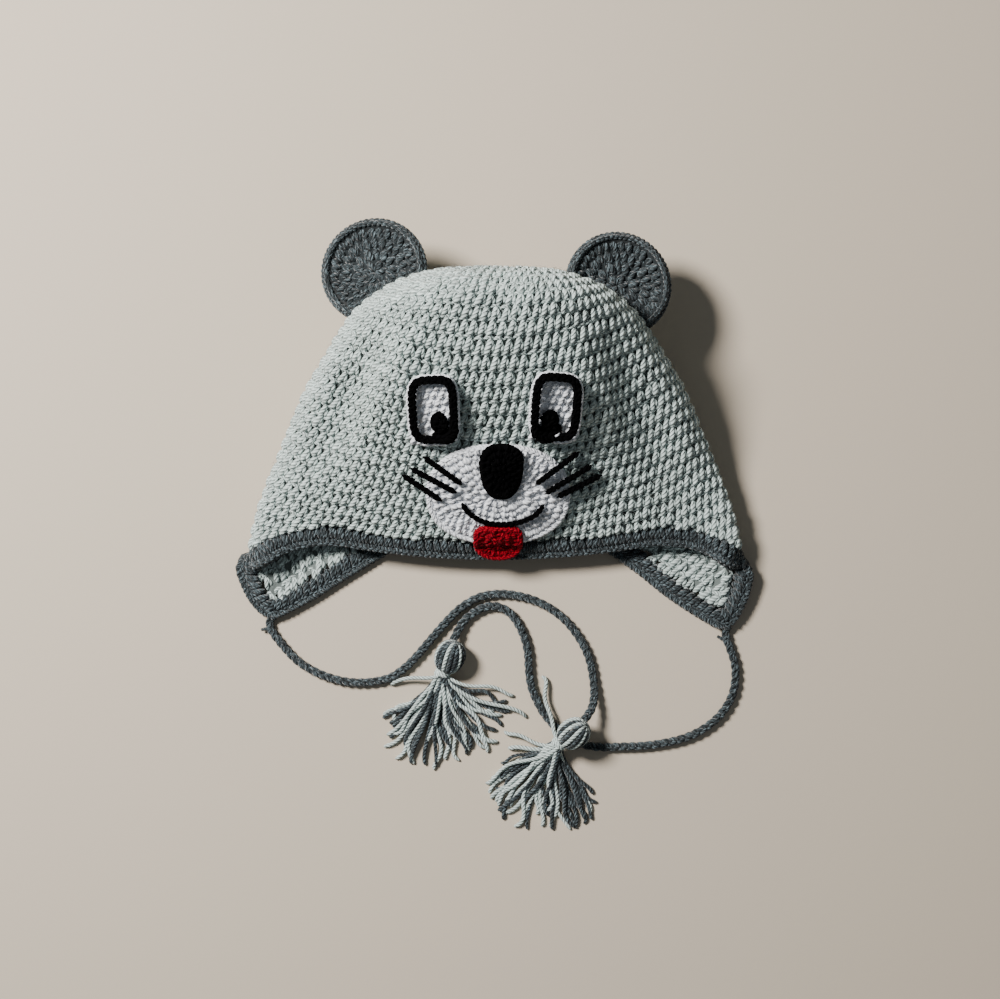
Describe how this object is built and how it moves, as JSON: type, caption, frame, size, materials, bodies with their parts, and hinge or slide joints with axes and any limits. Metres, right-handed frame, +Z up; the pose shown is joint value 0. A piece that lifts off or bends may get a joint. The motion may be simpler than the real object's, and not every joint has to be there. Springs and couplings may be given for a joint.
{
  "type": "baby hat with ears, ear flaps and tasselled ties",
  "caption": "Crocheted baby hat with round ears, an animal face, ear flaps and tasselled ties, lying on its back to be put on, tied or displayed.",
  "frame": {"origin": "on the surface that the hat lies on, in the middle of the hat's box without its ties and tassels", "axes": "+Z up out of the face, +Y from the rim to the top of the crown, +X to the right of the face as seen in the picture"},
  "size_m": [0.2192, 0.2626, 0.0779],
  "materials": {
    "light_yarn": "crocheted light sage-grey yarn, matt",
    "dark_yarn": "crocheted dark-grey heather yarn, matt",
    "white_yarn": "crocheted white yarn, matt",
    "black_yarn": "crocheted black yarn, matt",
    "red_yarn": "crocheted red yarn, matt"
  },
  "bodies": {
    "root": {"crown": "light_yarn", "rim_border": "dark_yarn", "flap_left": "light_yarn", "flap_right": "light_yarn", "ear_left": "dark_yarn", "ear_right": "dark_yarn", "eye_patch_left": "white_yarn", "eye_patch_right": "white_yarn", "eye_outline_left": "black_yarn", "eye_outline_right": "black_yarn", "pupil_left": "black_yarn", "pupil_right": "black_yarn", "muzzle": "white_yarn", "nose": "black_yarn", "mouth_line": "black_yarn", "tongue": "red_yarn", "whisker_left_1": "black_yarn", "whisker_left_2": "black_yarn", "whisker_left_3": "black_yarn", "whisker_right_1": "black_yarn", "whisker_right_2": "black_yarn", "whisker_right_3": "black_yarn", "tie_left": "dark_yarn", "tie_right": "dark_yarn", "tassel_left": "dark_yarn", "tassel_right": "dark_yarn"}
  },
  "joints": []
}
